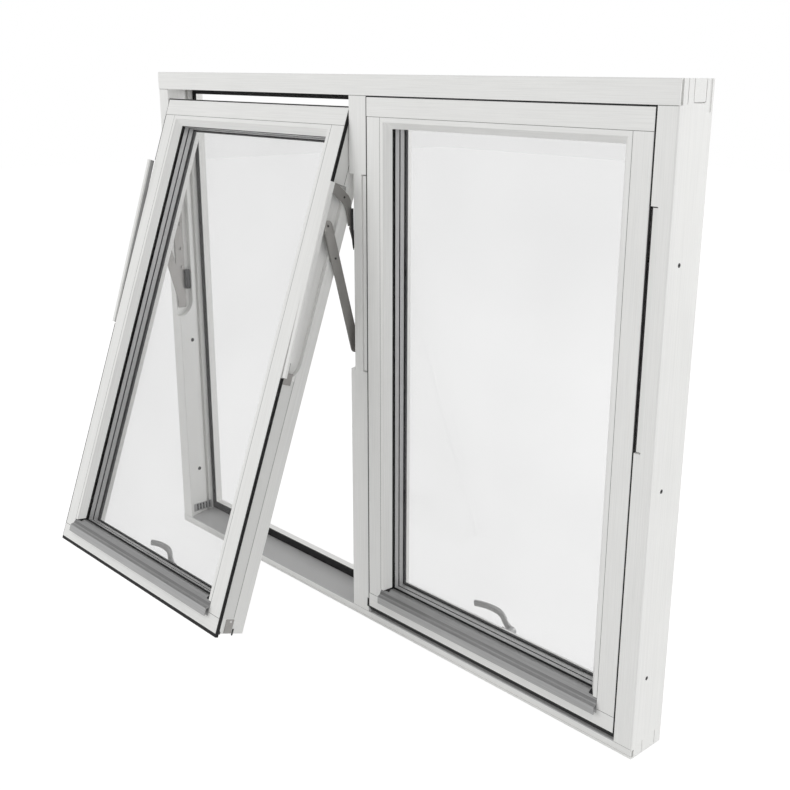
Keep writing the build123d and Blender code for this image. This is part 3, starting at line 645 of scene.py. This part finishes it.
def handle(side):
    """Cranked lever that thickens at its knee and droops a little to its flat end, on a round
    neck with softened edges."""
    hub_z = FOOT + 44
    lever_y = 128
    half_t = 5.0
    # At 1 the lever's section would be round, and at 0 square
    roundness = 0.6
    section_steps = 16
    # X and height of the lever's middle line from the hub's, and the lever's width there
    path = ((0, 0, 19), (-9, 5, 19), (-18, 11, 18), (-25, 18.5, 17.5), (-30.5, 27, 18), (-38, 34.5, 19),
            (-50, 38.6, 18.5), (-70, 40, 17.5), (-93, 38.8, 17), (-115, 35.4, 17), (-135.6, 31, 17.5))
    # Depth behind the sash's face and radius of the neck
    rings = ((96.4, 11.6), (97.2, 12), (112, 11.2), (124, 11.4), (132, 11.6), (133, 10.8))
    ring_steps = 28
    loops = []
    for i, (x, z, width) in enumerate(path):
        before, after = path[max(i - 1, 0)], path[min(i + 1, len(path) - 1)]
        run = Vector((after[0] - before[0], after[1] - before[1])).normalized()
        loop = []
        for step in range(section_steps):
            turn = 2 * math.pi * step / section_steps
            wide = math.copysign(abs(math.cos(turn)) ** roundness, math.cos(turn)) * width / 2
            thick = math.copysign(abs(math.sin(turn)) ** roundness, math.sin(turn)) * half_t
            loop.append((x - run.y * wide, lever_y + thick, hub_z + z + run.x * wide))
        loops.append(loop)
    turns = [2 * math.pi * step / ring_steps for step in range(ring_steps)]
    neck = []
    for depth, radius in rings:
        neck.append([(radius * math.cos(turn), depth, hub_z + radius * math.sin(turn)) for turn in turns])
    shells = [on_sash(side, loft(loops)), on_sash(side, loft(neck))]
    made = piece(f"{side}_lever", shells, handle_zinc, body=f"{side}_handle")
    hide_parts(f"{side}_handle_lever")


def visible_ray(tree):
    """1 for rays from the camera, or seen in metal or through glass, and otherwise 0."""
    path = add(tree, "ShaderNodeLightPath")
    first = add(tree, "ShaderNodeMath", {"operation": "MAXIMUM"},
                {0: path.outputs["Is Camera Ray"], 1: path.outputs["Is Glossy Ray"]})
    both = add(tree, "ShaderNodeMath", {"operation": "MAXIMUM"},
               {0: first.outputs[0], 1: path.outputs["Is Transmission Ray"]})
    return both.outputs[0]


def pale_surroundings():
    """White world, dimmer as a lamp than as a background, and a pale floor that keeps shadows."""
    world = bpy.data.worlds.new("pale_studio")
    bpy.context.scene.world = world
    world.use_nodes = True
    tree = world.node_tree
    tree.nodes.clear()
    level = add(tree, "ShaderNodeMapRange", {"To Min": 0.64, "To Max": 1.0},
                {"Value": visible_ray(tree)})
    sky = add(tree, "ShaderNodeBackground", {"Color": srgb("#FFFFFF")},
              {"Strength": level.outputs["Result"]})
    add(tree, "ShaderNodeOutputWorld", links={"Surface": sky.outputs[0]})
    # Half a millimetre below the sill, so that the two faces don't meet
    bpy.ops.mesh.primitive_plane_add(size=30, location=(0, 0, -0.5 * MM))
    floor = bpy.context.object
    floor.name = "floor"
    material = new_material("pale_floor")
    tree = material.node_tree
    matt = add(tree, "ShaderNodeBsdfDiffuse", {"Color": srgb("#F4F4F4")})
    dim = add(tree, "ShaderNodeBsdfDiffuse", {"Color": srgb("#8A8A8A")})
    glow = add(tree, "ShaderNodeEmission", {"Color": srgb("#FFFFFF"), "Strength": 0.88})
    seen = add(tree, "ShaderNodeAddShader", links={0: dim.outputs[0], 1: glow.outputs[0]})
    either = add(tree, "ShaderNodeMixShader",
                 links={0: visible_ray(tree), 1: matt.outputs[0], 2: seen.outputs[0]})
    finish(material, either)
    floor.data.materials.append(material)


def lamp(name, place, aim, size, power):
    """Square soft lamp at one point, aimed at another."""
    light = bpy.data.lights.new(name, "AREA")
    light.size = size
    light.energy = power
    holder = bpy.data.objects.new(name, light)
    bpy.context.scene.collection.objects.link(holder)
    holder.location = place
    holder.rotation_euler = (Vector(aim) - Vector(place)).to_track_quat("-Z", "Y").to_euler()


def camera():
    """Camera at the photograph's angle, in front to the right and level with the head."""
    turns_deg = (72.903, -0.598, 46.160)
    data = bpy.data.cameras.new("camera")
    data.lens = 49.41
    data.sensor_width = 36.0
    data.shift_x = -0.0426
    data.shift_y = 0.0161
    holder = bpy.data.objects.new("camera", data)
    bpy.context.scene.collection.objects.link(holder)
    holder.location = (2.1512, -1.8753, 1.4917)
    holder.rotation_euler = [math.radians(turn) for turn in turns_deg]
    bpy.context.scene.camera = holder


bpy.context.scene.view_settings.view_transform = "Standard"
# Light that falls through a triple unit and back out crosses twelve faces of glass
bpy.context.scene.cycles.transparent_max_bounces = 32
dress_cad_nodes()
for sash_side in PLACES:
    inner_gasket(sash_side)
    sash_groove_shade(sash_side)
    side_bands(sash_side)
    foot_end_pieces(sash_side)
    handle(sash_side)
frame_groove_shade()
strip_legs()
pocket_seals()
screw_sleeves()
corner_inserts()
hinge_pins()
hinge_black_bars()
corner_rubber()
pale_surroundings()
camera()
# A broad lamp in front, a weaker one beside the right jamb, and one indoors behind the glass
lamp("left_lamp", place=(-3.5, -6.3, 3.2), aim=(0.1, 0, 0.7), size=4.0, power=114)
lamp("side_lamp", place=(5.2, 1.6, 0.9), aim=(0.9, 0, 0.7), size=2.0, power=40)
lamp("indoor_lamp", place=(1.2, 3.0, 1.3), aim=(-0.9, 0, 0.8), size=1.6, power=34)
